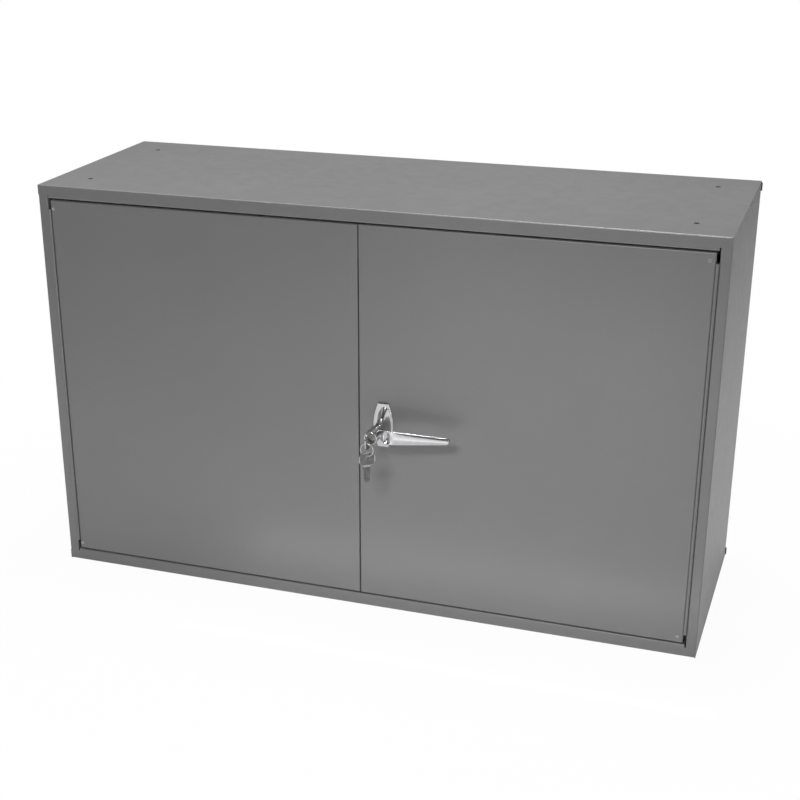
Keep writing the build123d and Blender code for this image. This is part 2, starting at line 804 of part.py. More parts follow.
def blade_outline(margin):
    """The blade seen square on, from its root to its round tip, drawn in by margin."""
    half_root = lever_root_height / 2 - margin
    half_tip = lever_tip_height / 2 - margin
    tip_centre = blade_length - lever_tip_height / 2
    tip_top = lever_tip_rise + half_tip
    tip_bottom = lever_tip_rise - half_tip
    with BuildSketch() as outline:
        with BuildLine():
            Polyline(
                (tip_centre, tip_top), (margin, half_root), (margin, -half_root), (tip_centre, tip_bottom)
            )
            ThreePointArc(
                (tip_centre, tip_bottom), (tip_centre + half_tip, lever_tip_rise), (tip_centre, tip_top)
            )
        make_face()
    return outline.sketch


with BuildPart() as handle_lever:
    # neck from the hub to the blade, then the blade with its dished front
    neck_start = hub_radius / 2
    neck_end = lever_root_reach + neck_lap
    with BuildSketch(axis_plane(neck_rear_off)):
        with BuildLine():
            Polyline((neck_start, neck_at_hub[0]), (neck_start, neck_at_hub[1]),
                     (neck_end, neck_at_root[1]), (neck_end, neck_at_root[0]), close=True)
        make_face()
    extrude(amount=lever_root_off - neck_setback - neck_rear_off)
    with BuildSketch(blade_plane):
        add(blade_outline(0))
    extrude(amount=-lever_thickness, taper=lever_draft)
    with BuildSketch(blade_plane):
        add(blade_outline(dish_margin))
    extrude(amount=-dish_depth, taper=dish_draft, mode=Mode.SUBTRACT)
    # hub with the journal that turns in the escutcheon's stem
    with BuildSketch(off_door(hub_rear_off)):
        with Locations((handle_x, handle_z)):
            Circle(hub_radius)
    extrude(amount=hub_off - hub_rear_off)
    rim = handle_lever.faces().sort_by(Axis.Y)[0].edges()
    chamfer(rim, hub_edge)
    with BuildSketch(off_door(journal_end_off)):
        with Locations((handle_x, handle_z)):
            Circle(journal_radius)
    extrude(amount=hub_rear_off - journal_end_off)
    with BuildSketch(off_door(lock_rear_off)):
        with Locations((handle_x, handle_z)):
            Circle(lock_radius)
    extrude(amount=hub_off - lock_rear_off, mode=Mode.SUBTRACT)
    with BuildSketch(off_door(journal_end_off)):
        with Locations((handle_x, handle_z)):
            Rectangle(spindle_side + 2 * spindle_play, spindle_side + 2 * spindle_play)
    extrude(amount=spindle_off - journal_end_off, mode=Mode.SUBTRACT)
    # channel for the dog, and the hole that the plug's tail pin reaches it through
    channel_bottom = -dog_heel - dog_play
    channel_top = journal_radius + dog_play
    with BuildSketch(off_door(dog_off - dog_thickness / 2 - dog_play)):
        with Locations((handle_x, handle_z + (channel_bottom + channel_top) / 2)):
            Rectangle(dog_width + 2 * dog_play, channel_top - channel_bottom)
    extrude(amount=dog_thickness + 2 * dog_play, mode=Mode.SUBTRACT)
    with BuildSketch(off_door(dog_off)):
        with Locations((handle_x, handle_z)):
            Circle(eccentric + tail_pin_radius + 2 * tail_pin_play)
    extrude(amount=lock_rear_off - dog_off, mode=Mode.SUBTRACT)
handle_lever.part.label = "handle_lever"
export_step(handle_lever.part, "parts/handle_lever.step")

with BuildPart() as lock_cylinder:
    with BuildSketch(off_door(lock_rear_off)):
        with Locations((handle_x, handle_z)):
            Circle(lock_radius)
            Circle(plug_radius + running_clearance, mode=Mode.SUBTRACT)
    extrude(amount=lock_length)
lock_cylinder.part.label = "lock_cylinder"
export_step(lock_cylinder.part, "parts/lock_cylinder.step")

with BuildPart() as lock_plug:
    with BuildSketch(off_door(lock_rear_off)):
        with Locations((handle_x, handle_z)):
            Circle(plug_radius)
    extrude(amount=lock_length)
    with BuildSketch(off_door(plug_face_off)):
        with Locations((handle_x, handle_z)):
            Rectangle(key_sheet + 2 * key_play, key_blade_height + 2 * key_play)
    extrude(amount=-(lock_length - plug_floor), mode=Mode.SUBTRACT)
    with BuildSketch(off_door(dog_off - dog_thickness / 2)):
        with Locations((handle_x + pin_shift, handle_z + pin_shift)):
            Circle(tail_pin_radius)
    extrude(amount=lock_rear_off - dog_off + dog_thickness / 2)
lock_plug.part.label = "lock_plug"
export_step(lock_plug.part, "parts/lock_plug.step")

with BuildPart() as locking_dog:
    with BuildSketch(off_door(dog_off - dog_thickness / 2)):
        with Locations((handle_x, handle_z)):
            Circle(journal_radius - dog_play)
        with Locations((handle_x, handle_z + journal_radius / 2 - dog_heel / 2)):
            Rectangle(dog_width, journal_radius + dog_heel, mode=Mode.INTERSECT)
        slot_right = pin_shift + tail_pin_radius + tail_pin_play
        slot_left = -dog_width / 2 - dog_play
        with Locations((handle_x + (slot_left + slot_right) / 2, handle_z + pin_shift)):
            Rectangle(slot_right - slot_left, 2 * (tail_pin_radius + tail_pin_play), mode=Mode.SUBTRACT)
    extrude(amount=dog_thickness)
locking_dog.part.label = "locking_dog"
export_step(locking_dog.part, "parts/locking_dog.step")

# ======================================================= spindle and cam
cam_back = cam_front + cam_plate
pin_offset = cam_pin_circle * sqrt(0.5)
cam_pin_points = [
    (handle_x - pin_offset, handle_z - pin_offset),
    (handle_x + pin_offset, handle_z + pin_offset),
]

with BuildPart() as spindle:
    with BuildSketch(behind_door(cam_back - spindle_play)):
        with Locations((handle_x, handle_z)):
            Rectangle(spindle_side, spindle_side)
            Circle(end_screw_radius + spindle_play / 2, mode=Mode.SUBTRACT)
    extrude(amount=end_screw_length)
    with BuildSketch(behind_door(cam_back - spindle_play - end_screw_length)):
        with Locations((handle_x, handle_z)):
            Rectangle(spindle_side, spindle_side)
    extrude(amount=cam_back - 2 * spindle_play - end_screw_length + spindle_off)
spindle.part.label = "spindle"
export_step(spindle.part, "parts/spindle.step")

with BuildPart() as latch_cam:
    with BuildSketch(behind_door(cam_back)):
        with Locations((handle_x, handle_z)):
            Circle(cam_boss_radius)
            SlotCenterToCenter(2 * cam_pin_circle, 2 * cam_lobe_radius, rotation=45)
        tongue_mid = cam_tongue_reach / 2
        with Locations((handle_x, handle_z - tongue_mid)):
            Rectangle(cam_tongue_width, cam_tongue_reach)
        with Locations((handle_x, handle_z)):
            Rectangle(spindle_side + 2 * spindle_play, spindle_side + 2 * spindle_play, mode=Mode.SUBTRACT)
        with Locations(*cam_pin_points):
            Circle(cam_pin_tenon_radius, mode=Mode.SUBTRACT)
    extrude(amount=cam_plate)
    tongue_corners = latch_cam.edges().filter_by(Axis.Y).group_by(Axis.Z)[0]
    fillet(tongue_corners, cam_tongue_width / 3)
latch_cam.part.label = "latch_cam"
export_step(latch_cam.part, "parts/latch_cam.step")

with BuildPart() as cam_pins:
    with BuildSketch(behind_door(cam_back)):
        with Locations(*cam_pin_points):
            Circle(cam_pin_tenon_radius)
    extrude(amount=cam_plate)
    pin_head_off = rod_front + rod_sheet + yoke_end_play
    with BuildSketch(behind_door(pin_head_off)):
        with Locations(*cam_pin_points):
            Circle(cam_pin_radius)
    extrude(amount=pin_head_off - cam_back)
    with BuildSketch(behind_door(pin_head_off + cam_pin_head_height)):
        with Locations(*cam_pin_points):
            Circle(cam_pin_head_radius)
    extrude(amount=cam_pin_head_height)
cam_pins.part.label = "cam_pins"
export_step(cam_pins.part, "parts/cam_pins.step")

with BuildPart() as cam_washer:
    with BuildSketch(behind_door(cam_back + end_washer_thickness)):
        with Locations((handle_x, handle_z)):
            Circle(end_washer_radius)
            Circle(end_screw_radius + spindle_play, mode=Mode.SUBTRACT)
    extrude(amount=end_washer_thickness)
cam_washer.part.label = "cam_washer"
export_step(cam_washer.part, "parts/cam_washer.step")

with BuildPart() as cam_screw:
    screw_seat = cam_back + end_washer_thickness
    with BuildSketch(behind_door(screw_seat)):
        with Locations((handle_x, handle_z)):
            Circle(end_screw_radius)
    extrude(amount=end_screw_length)
    with BuildSketch(behind_door(screw_seat + end_screw_head_height)):
        with Locations((handle_x, handle_z)):
            Circle(end_screw_head_radius)
    extrude(amount=end_screw_head_height)
    with BuildSketch(behind_door(screw_seat + end_screw_head_height)):
        with Locations((handle_x, handle_z)):
            Rectangle(end_screw_head_radius, end_screw_head_radius * recess_width)
            Rectangle(end_screw_head_radius * recess_width, end_screw_head_radius)
    extrude(amount=end_screw_head_height / 2, mode=Mode.SUBTRACT)
cam_screw.part.label = "cam_screw"
export_step(cam_screw.part, "parts/cam_screw.step")

# ============================================================ latch rods
yoke_half_length = cam_pin_circle * (1 - sqrt(0.5)) / 2 + cam_pin_radius + yoke_end_play
yoke_half_height = cam_pin_radius + yoke_pin_play


def latch_rod(rod_x, pin_z, end_z):
    """Flat rod from its slotted yoke at the cam to its plain end at the rail."""
    way = 1 if end_z > pin_z else -1
    heel_z = pin_z - way * (yoke_half_height + yoke_wall)
    with BuildPart() as rod:
        with BuildSketch(behind_door(rod_front + rod_sheet)):
            with Locations((rod_x, (heel_z + end_z) / 2)):
                Rectangle(rod_width, abs(end_z - heel_z))
            with Locations((rod_x, pin_z)):
                Rectangle(2 * (yoke_half_length + yoke_wall), 2 * (yoke_half_height + yoke_wall))
                Rectangle(2 * yoke_half_length, 2 * yoke_half_height, mode=Mode.SUBTRACT)
        extrude(amount=rod_sheet)
        end_edges = rod.edges().filter_by(Axis.Y).group_by(Axis.Z)[-1 if way > 0 else 0]
        chamfer(end_edges, rod_sheet)
    return rod.part


with BuildPart() as top_latch_rod:
    add(latch_rod(rod_left_x, handle_z - pin_offset, stop_edge_top - rod_end_gap))
top_latch_rod.part.label = "top_latch_rod"
export_step(top_latch_rod.part, "parts/top_latch_rod.step")

with BuildPart() as bottom_latch_rod:
    add(latch_rod(rod_right_x, handle_z + pin_offset, stop_edge_bottom + rod_end_gap))
bottom_latch_rod.part.label = "bottom_latch_rod"
export_step(bottom_latch_rod.part, "parts/bottom_latch_rod.step")

with BuildPart() as rod_guides:
    leg_x = rod_width / 2 + guide_play + guide_sheet / 2
    strap_depth = rod_front + rod_sheet + guide_play + guide_sheet
    leg_height = strap_depth - door_thickness
    for rod_x, z in ((rod_left_x, top_guide_z), (rod_right_x, bottom_guide_z)):
        with BuildSketch(behind_door(strap_depth)):
            with Locations((rod_x, z)):
                with GridLocations(2 * leg_x, 1, 2, 1):
                    Rectangle(guide_sheet, guide_height)
        extrude(amount=leg_height)
        with BuildSketch(behind_door(strap_depth)):
            with Locations((rod_x, z)):
                Rectangle(2 * leg_x + guide_sheet, guide_height)
        extrude(amount=guide_sheet)
        with BuildSketch(behind_door(door_thickness + guide_sheet)):
            with Locations((rod_x, z)):
                with GridLocations(2 * guide_spread, 1, 2, 1):
                    Rectangle(guide_foot, guide_height)
                    Circle(guide_rivet_radius, mode=Mode.SUBTRACT)
        extrude(amount=guide_sheet)
rod_guides.part.label = "rod_guides"
export_step(rod_guides.part, "parts/rod_guides.step")


def lip_rivets(points, stack, proud_head):
    """Rivets through the door's rear lip and a sheet of thickness stack behind it."""
    with BuildPart() as rivets:
        tail = door_thickness - door_sheet
        with BuildSketch(behind_door(door_thickness + stack)):
            with Locations(*points):
                Circle(guide_rivet_radius)
        extrude(amount=door_sheet + stack)
        with BuildSketch(behind_door(tail)):
            with Locations(*points):
                Circle(guide_rivet_head_radius)
        extrude(amount=guide_rivet_head_height)
        if proud_head:
            with BuildSketch(behind_door(door_thickness + stack + guide_rivet_head_height)):
                with Locations(*points):
                    Circle(guide_rivet_head_radius)
            extrude(amount=guide_rivet_head_height)
    return rivets.part


with BuildPart() as guide_rivets:
    add(lip_rivets(guide_points, guide_sheet, True))
guide_rivets.part.label = "guide_rivets"
export_step(guide_rivets.part, "parts/guide_rivets.step")

# ================================================ magnetic catch, bumpers
pole_face = door_thickness + strike_sheet + strike_gap
housing_front = pole_face + pole_proud
cavity_length = catch_length - 2 * catch_wall - catch_end_solid
cavity_height = catch_height - 2 * catch_wall
cavity_depth = catch_depth - catch_wall
lip_rear = stop_depth + shell_sheet

with BuildPart() as strike_plate:
    with BuildSketch(behind_door(door_thickness + strike_sheet)):
        with Locations((catch_x, strike_z)):
            RectangleRounded(strike_length, strike_height, strike_sheet)
        with Locations(*strike_points):
            Circle(guide_rivet_radius, mode=Mode.SUBTRACT)
    extrude(amount=strike_sheet)
strike_plate.part.label = "strike_plate"
export_step(strike_plate.part, "parts/strike_plate.step")

with BuildPart() as strike_rivets:
    add(lip_rivets(strike_points, strike_sheet, False))
strike_rivets.part.label = "strike_rivets"
export_step(strike_rivets.part, "parts/strike_rivets.step")

with BuildPart() as catch_housing:
    with BuildSketch(behind_door(housing_front + catch_depth)):
        with Locations((catch_x, strike_z)):
            Rectangle(catch_length, catch_height)
    extrude(amount=catch_depth)
    with BuildSketch(behind_door(housing_front + cavity_depth)):
        with Locations((catch_x, strike_z)):
            Rectangle(cavity_length, cavity_height)
    extrude(amount=cavity_depth, mode=Mode.SUBTRACT)
    with BuildSketch(behind_door(lip_rear + catch_foot_sheet)):
        with Locations((catch_x, strike_z + catch_height / 2 + catch_foot_rise / 2)):
            Rectangle(catch_length, catch_foot_rise)
        with Locations(*catch_screw_points):
            Circle(catch_screw_radius + spindle_play, mode=Mode.SUBTRACT)
    extrude(amount=catch_foot_sheet)
catch_housing.part.label = "catch_housing"
export_step(catch_housing.part, "parts/catch_housing.step")

with BuildPart() as catch_magnet:
    with BuildSketch(behind_door(housing_front + cavity_depth)):
        with Locations((catch_x, strike_z)):
            Rectangle(cavity_length, cavity_height - 2 * pole_thickness)
    extrude(amount=cavity_depth - pole_proud)
catch_magnet.part.label = "catch_magnet"
export_step(catch_magnet.part, "parts/catch_magnet.step")

with BuildPart() as catch_poles:
    with BuildSketch(behind_door(housing_front + cavity_depth)):
        with Locations((catch_x, strike_z)):
            with GridLocations(1, cavity_height - pole_thickness, 1, 2):
                Rectangle(cavity_length, pole_thickness)
    extrude(amount=cavity_depth + pole_proud)
catch_poles.part.label = "catch_poles"
export_step(catch_poles.part, "parts/catch_poles.step")

with BuildPart() as catch_screws:
    with BuildSketch(behind_door(lip_rear + catch_foot_sheet)):
        with Locations(*catch_screw_points):
            Circle(catch_screw_radius)
    extrude(amount=catch_foot_sheet + shell_sheet)
    with BuildSketch(behind_door(lip_rear + catch_foot_sheet + catch_screw_head_height)):
        with Locations(*catch_screw_points):
            Circle(catch_screw_head_radius)
    extrude(amount=catch_screw_head_height)
catch_screws.part.label = "catch_screws"
export_step(catch_screws.part, "parts/catch_screws.step")

with BuildPart() as door_bumpers:
    with BuildSketch(behind_door(stop_depth)):
        with Locations((0, stop_edge_top + bumper_radius), (0, stop_edge_bottom - bumper_radius)):
            with GridLocations(2 * bumper_x, 1, 2, 1):
                Circle(bumper_radius)
    extrude(amount=stop_depth - door_thickness - bumper_gap)
door_bumpers.part.label = "door_bumpers"
export_step(door_bumpers.part, "parts/door_bumpers.step")


# ========================================================= keys and ring
def key_outline():
    """Flat key with bow, hole, collar and cut blade; x runs from the plug's face outwards."""
    blade_half = key_blade_height / 2
    bit_pitch = key_blade_length / (key_bit_count + 2)
    with BuildSketch() as outline:
        with Locations(((bow_start + bow_end) / 2, 0)):
            RectangleRounded(bow_end - bow_start, bow_width, bow_round)
        with Locations(((bow_start + 2 * key_play) / 2 + key_play, 0)):
            Rectangle(bow_start, key_collar_height)
        with Locations(((bow_start - key_blade_length) / 2, 0)):
            Rectangle(bow_start + key_blade_length, key_blade_height)
        chamfer(outline.vertices().group_by(Axis.X)[0], key_blade_height / 3)
        for i in range(key_bit_count):
            bit_depth = key_bit_depth * (1 + i % 2)
            with Locations((-bit_pitch * (i + 1), blade_half - bit_depth / 2)):
                Rectangle(bit_pitch / 2, bit_depth, mode=Mode.SUBTRACT)
        with Locations((key_hole_reach, 0)):
            Circle(key_hole_radius, mode=Mode.SUBTRACT)
    return outline.sketch


lock_key_plane = Plane(
    (handle_x - key_sheet / 2, front - plug_face_off, handle_z), x_dir=(0, -1, 0), z_dir=(1, 0, 0)
)
spare_turn = radians(spare_twist)
spare_normal = (cos(spare_turn), -sin(spare_turn), 0)
spare_key_plane = Plane(
    (
        handle_x - key_sheet / 2 * cos(spare_turn),
        front - ring_off + key_sheet / 2 * sin(spare_turn),
        spare_hole_z - key_hole_reach,
    ),
    x_dir=(0, 0, 1),
    z_dir=spare_normal,
)

with BuildPart() as lock_key:
    with BuildSketch(lock_key_plane):
        add(key_outline())
    extrude(amount=key_sheet)
lock_key.part.label = "lock_key"
export_step(lock_key.part, "parts/lock_key.step")

with BuildPart() as spare_key:
    with BuildSketch(spare_key_plane):
        add(key_outline())
    extrude(amount=key_sheet)
spare_key.part.label = "spare_key"
export_step(spare_key.part, "parts/spare_key.step")

with BuildPart() as key_ring:
    with Locations(Location((handle_x, front - ring_off, ring_centre_z), (90, 0, 0))):
        Torus(ring_radius, ring_wire_radius)
key_ring.part.label = "key_ring"
export_step(key_ring.part, "parts/key_ring.step")
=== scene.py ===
# %% [markdown]
# # A steel tool cabinet with two doors
#
# The cabinet is a welded shell of folded sheet steel, enamelled grey, with two doors on long
# piano hinges and a locking lever handle. Every millimetre of it was settled in the packed
# model, so this scene only gives it its finish, its light and the small forms that a milled
# solid leaves out. Work starts by loading that model as a frame.

import json
from math import cos, pi, radians, sin

import bpy
import numpy as np
from mathutils import Matrix, Vector


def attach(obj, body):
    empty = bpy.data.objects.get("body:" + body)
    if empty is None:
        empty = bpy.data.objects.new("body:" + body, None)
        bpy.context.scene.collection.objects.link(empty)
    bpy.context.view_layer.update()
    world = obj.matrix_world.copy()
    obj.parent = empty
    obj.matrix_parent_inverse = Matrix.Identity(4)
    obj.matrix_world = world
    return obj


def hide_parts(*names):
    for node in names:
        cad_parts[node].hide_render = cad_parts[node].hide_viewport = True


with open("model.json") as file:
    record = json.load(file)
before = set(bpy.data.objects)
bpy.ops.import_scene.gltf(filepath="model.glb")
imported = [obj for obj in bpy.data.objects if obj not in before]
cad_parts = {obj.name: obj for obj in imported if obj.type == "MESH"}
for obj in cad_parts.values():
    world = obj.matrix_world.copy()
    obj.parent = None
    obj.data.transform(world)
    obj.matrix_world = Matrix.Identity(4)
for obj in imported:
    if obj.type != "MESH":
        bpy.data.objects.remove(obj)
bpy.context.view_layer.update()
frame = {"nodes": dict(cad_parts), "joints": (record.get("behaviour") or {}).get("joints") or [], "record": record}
nodes = frame["nodes"]

# %% [markdown]
# ## Places from the frame
#
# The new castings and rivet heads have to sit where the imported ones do. Their places could be
# typed in, but a number that stands in two files drifts apart sooner or later. So they are read
# from the frame: a joint's pivot gives an axis, and the box round a node gives its middle.


# %% Places
def node_box(name):
    """The lowest and the highest corner of a node's mesh, in millimetres."""
    mesh = nodes[name].data
    places = np.empty(3 * len(mesh.vertices), np.float32)
    mesh.vertices.foreach_get("co", places)
    places = 1000 * places.astype(float).reshape(-1, 3)
    return np.round(places.min(axis=0), 3), np.round(places.max(axis=0), 3)


pivot_of = {joint["name"]: joint["pos_m"] for joint in frame["joints"] if "pos_m" in joint}
handle_x, door_y, handle_z = (round(1000 * value, 3) for value in pivot_of["handle_turn"])
print("handle's axis: x", handle_x, "z", handle_z, "mm, door's face: y", door_y, "mm")

# %% [markdown]
# ## A small language for finishes
#
# A finish is a net of nodes, and nets are hard to read once they are wired by hand. Here a wire
# behaves as a number does, so `0.4 + 0.1 * grain` adds its own Math nodes, and any other node
# comes from a single call with its settings and what is plugged into it.


# %% Wires
class Wire:
    """An output socket that can stand in an expression."""

    def __init__(self, finish, socket):
        self.finish = finish
        self.socket = socket

    def out(self, name):
        """Another output of the same node."""
        return Wire(self.finish, self.socket.node.outputs[name])

    def math(self, operation, *values):
        """A Math node on any wires or numbers."""
        return self.finish.node("ShaderNodeMath", {"operation": operation}, values)

    def __add__(self, other):
        return self.math("ADD", self, other)

    def __mul__(self, other):
        return self.math("MULTIPLY", self, other)

    __radd__ = __add__
    __rmul__ = __mul__


print("wires: ready")


# %% Finishes
class Finish:
    """A material, or the world, built as a net of nodes."""

    def __init__(self, name, owner=None):
        self.owner = owner or bpy.data.materials.new(name)
        self.owner.use_nodes = True
        self.tree = self.owner.node_tree
        self.tree.nodes.clear()

    def node(self, kind, settings=None, inputs=()):
        """Adds a node: its settings first, then a value or a wire for each input, which is named
        or numbered. The wire that comes back is the node's first output."""
        made = self.tree.nodes.new(kind)
        for key, value in (settings or {}).items():
            if key == "stops":
                ramp = made.color_ramp.elements
                while len(ramp) < len(value):
                    ramp.new(0.5)
                for stop, (place, colour) in zip(ramp, value):
                    stop.position = place
                    stop.color = colour
            else:
                setattr(made, key, value)
        pairs = inputs.items() if isinstance(inputs, dict) else enumerate(inputs)
        for key, value in pairs:
            if isinstance(value, Wire):
                self.tree.links.new(value.socket, made.inputs[key])
            else:
                made.inputs[key].default_value = value
        return Wire(self, made.outputs[0]) if made.outputs else None

    def noise(self, scale, detail=2.0, stretch=(1, 1, 1)):
        """Noise in object space, from 0 to 1. The scale is in waves per metre."""
        place = self.node("ShaderNodeTexCoord").out("Object")
        place = self.node("ShaderNodeMapping", {}, {"Vector": place, "Scale": stretch})
        inputs = {"Vector": place, "Scale": scale, "Detail": detail}
        return self.node("ShaderNodeTexNoise", {}, inputs)

    def span(self, wire, start, end, low, high, ease="LINEAR"):
        """Carries the span from start to end over to the one from low to high, and holds the
        value beyond both ends."""
        inputs = {"Value": wire, "From Min": start, "From Max": end, "To Min": low, "To Max": high}
        return self.node("ShaderNodeMapRange", {"interpolation_type": ease}, inputs)

    def spread(self, noise, low, high):
        """Carries a noise over to the span from low to high. Most of a noise lies between 0.3
        and 0.7, so the span is reached at these two."""
        return self.span(noise, 0.3, 0.7, low, high)

    def bump(self, height, distance, strength):
        """A normal bent by the wire's height, which is worth distance metres from 0 to 1."""
        inputs = {"Height": height, "Distance": distance, "Strength": strength}
        return self.node("ShaderNodeBump", {}, inputs)

    def tones(self, wire, dark, light):
        """A colour between two, by the wire's value from 0 to 1."""
        settings = {"stops": [(0.0, (*dark, 1)), (1.0, (*light, 1))]}
        return self.node("ShaderNodeValToRGB", settings, {0: wire})

    def surface(self, **inputs):
        """Closes the net with a Principled surface. An input's name has _ for its spaces."""
        named = {key.replace("_", " "): value for key, value in inputs.items()}
        self.close(self.node("ShaderNodeBsdfPrincipled", {}, named))
        return self.owner

    def close(self, shader):
        """Plugs a shader into the output that a world or a material has."""
        kind = "World" if isinstance(self.owner, bpy.types.World) else "Material"
        self.node("ShaderNodeOutput" + kind, {}, {"Surface": shader})


print("finishes: ready")

# %% [markdown]
# ## Camera
#
# A studio shot of furniture is taken with a fairly long lens from a little above, so that the
# top, the front and one side show. Three angles and a place say how the camera stands. The
# cabinet could be framed by turning the camera, but that would move the vanishing points of its
# edges. A small shift of the lens frames it and leaves them alone.

# %% Camera
turn = radians(19.737)
pitch = radians(23.234)
roll = radians(-0.493)
camera_place = Vector((0.6063, -1.8616, 0.9794))
back = Vector((sin(turn) * cos(pitch), -cos(turn) * cos(pitch), sin(pitch)))
level = Vector((cos(turn), sin(turn), 0))
upright = back.cross(level)
right = cos(roll) * level + sin(roll) * upright
up = cos(roll) * upright - sin(roll) * level

lens = bpy.data.cameras.new("studio_camera")
lens.sensor_width = 36.0
lens.lens = 67.76
lens.shift_x = 0.0541
lens.shift_y = 0.0855
camera = bpy.data.objects.new("studio_camera", lens)
bpy.context.scene.collection.objects.link(camera)
camera.matrix_world = Matrix(
    [[right[i], up[i], back[i], camera_place[i]] for i in range(3)] + [[0, 0, 0, 1]]
)
bpy.context.scene.camera = camera
print("camera:", [round(value, 3) for value in camera_place], "lens", round(lens.lens, 1), "mm")

# %% [markdown]
# ## Meshes from arrays
#
# Each new form is a grid of points worked out in one go, with its rows and columns joined into
# four-sided faces. A tube or a ring is a grid whose last column joins its first. Where a smooth
# surface has a sharp corner, its row of points is given twice: the two rows share no face, so
# each side keeps its own shading.


# %% Grids
def grid_faces(rows, columns, closed=False):
    """Faces of a grid of points: each joins (i, j), (i, j + 1), (i + 1, j + 1) and (i + 1, j).
    In a closed grid the last column joins the first."""
    faces_across = columns if closed else columns - 1
    i, j = np.meshgrid(np.arange(rows - 1), np.arange(faces_across), indexing="ij")
    i, j = i.ravel() * columns, j.ravel()
    after = (j + 1) % columns
    return np.stack([i + j, i + after, i + columns + after, i + columns + j], axis=1)


def piece_from(name, points, faces, material):
    """A smooth mesh object from an array of points (n, 3), in metres, and an array of faces
    (m, 4). The empty faces between two equal rows of points are left out."""
    least_area = 1e-13
    points = points.reshape(-1, 3)
    corner = points[faces]
    across = np.cross(corner[:, 2] - corner[:, 0], corner[:, 3] - corner[:, 1])
    faces = faces[np.linalg.norm(across, axis=1) > least_area]
    mesh = bpy.data.meshes.new(name)
    mesh.from_pydata(points.tolist(), [], faces.tolist())
    mesh.polygons.foreach_set("use_smooth", np.ones(len(faces), bool))
    mesh.update()
    mesh.materials.append(material)
    made = bpy.data.objects.new(name, mesh)
    bpy.context.scene.collection.objects.link(made)
    return made


print("grids: ready")

# %% [markdown]
# ## Floor
#
# The cabinet stands on plain pale paper that runs far back, as in a studio. Lit paper alone
# would come out grey, and more light would burn out the cabinet, so the camera sees the paper
# as almost plain white. The few percent that are left are lit paper, and they keep the soft
# shadow round the cabinet's foot. Away from the cabinet the paper fades to pure white, so that
# its edges don't show. Chrome and other glossy surfaces see it paler than it is, too.


# %% Floor
def paper_sheet(half_width, front, back, rows=24):
    """Flat sheet: x from -half_width to half_width and y from front to back, all at z = 0."""
    x, y = np.meshgrid(np.linspace(-half_width, half_width, 2), np.linspace(front, back, rows))
    return np.stack([x, y, 0 * x], axis=2), grid_faces(rows, 2)


paper = Finish("paper")
near_share, far_share, reflected_share = 0.97, 1.0, 0.62
rays = paper.node("ShaderNodeLightPath")
place = paper.node("ShaderNodeTexCoord").out("Object")
reach = paper.node("ShaderNodeVectorMath", {"operation": "LENGTH"}, {0: place}).out("Value")
white_share = paper.span(reach, 0.5, 1.05, near_share, far_share, "SMOOTHSTEP")
seen_white = white_share * rays.out("Is Camera Ray")
for kind in ("Is Glossy Ray", "Is Transmission Ray"):
    seen_white = seen_white.math("MAXIMUM", seen_white, reflected_share * rays.out(kind))
plain = paper.node("ShaderNodeBsdfDiffuse", {}, {"Color": (0.82, 0.82, 0.82, 1)})
white = paper.node("ShaderNodeEmission", {}, {"Color": (1, 1, 1, 1), "Strength": 1.0})
paper.close(paper.node("ShaderNodeMixShader", {}, {0: seen_white, 1: plain, 2: white}))
floor = piece_from("floor", *paper_sheet(half_width=1.15, front=-1.2, back=4.0), paper.owner)
print("floor:", len(floor.data.polygons), "faces")

# %% [markdown]
# ## Lamps
#
# Two wide lamps overhead make the top the lightest face. A small one in front lights the doors
# and gives the handle its crisp shadow. Two weak ones low down fill in the front and its bottom
# rail, as bright paper does.


# %% Lamps
def softbox(name, place, aim, width, height, watts):
    """A rectangular lamp at a place that faces a point, in metres. The camera doesn't see it."""
    data = bpy.data.lights.new(name, "AREA")
    data.shape = "RECTANGLE"
    data.size = width
    data.size_y = height
    data.energy = watts
    lamp = bpy.data.objects.new(name, data)
    bpy.context.scene.collection.objects.link(lamp)
    lamp.location = place
    lamp.rotation_euler = (Vector(aim) - Vector(place)).to_track_quat("-Z", "Y").to_euler()
    lamp.visible_camera = False


lamps = {
    "overhead": dict(place=(0.1, 0.3, 2.5), aim=(0.1, 0.1, 0.3), width=0.7, height=0.9, watts=38),
    "over_left": dict(place=(-0.7, 0.3, 2.4), aim=(-0.1, 0, 0.3), width=1.2, height=1.4, watts=16),
    "front_key": dict(
        place=(0.08, -1.85, 1.39), aim=(0.05, -0.15, 0.1), width=0.5, height=0.24, watts=16.5
    ),
    "low_front": dict(
        place=(0.1, -0.95, 0.12), aim=(0.05, -0.15, 0.25), width=0.7, height=0.3, watts=0.8
    ),
    "floor_strip": dict(
        place=(0.14, -0.29, 0.006), aim=(0.14, -0.154, 0.01), width=0.7, height=0.01, watts=0.09
    ),
}
for name, values in lamps.items():
    softbox(name, **values)
print("lamps:", {name: values["watts"] for name, values in lamps.items()})

# %% [markdown]
# ## The room
#
# The camera sees the room as plain white. To everything else it is close to black, so that the
# tones come from the lamps. Reflections also see two pale screens, a brighter one at the right
# and a dimmer one at the left: polished metal would look dead without something to mirror. Lamps
# could do that as well, but they would light the enamel and throw shadows.

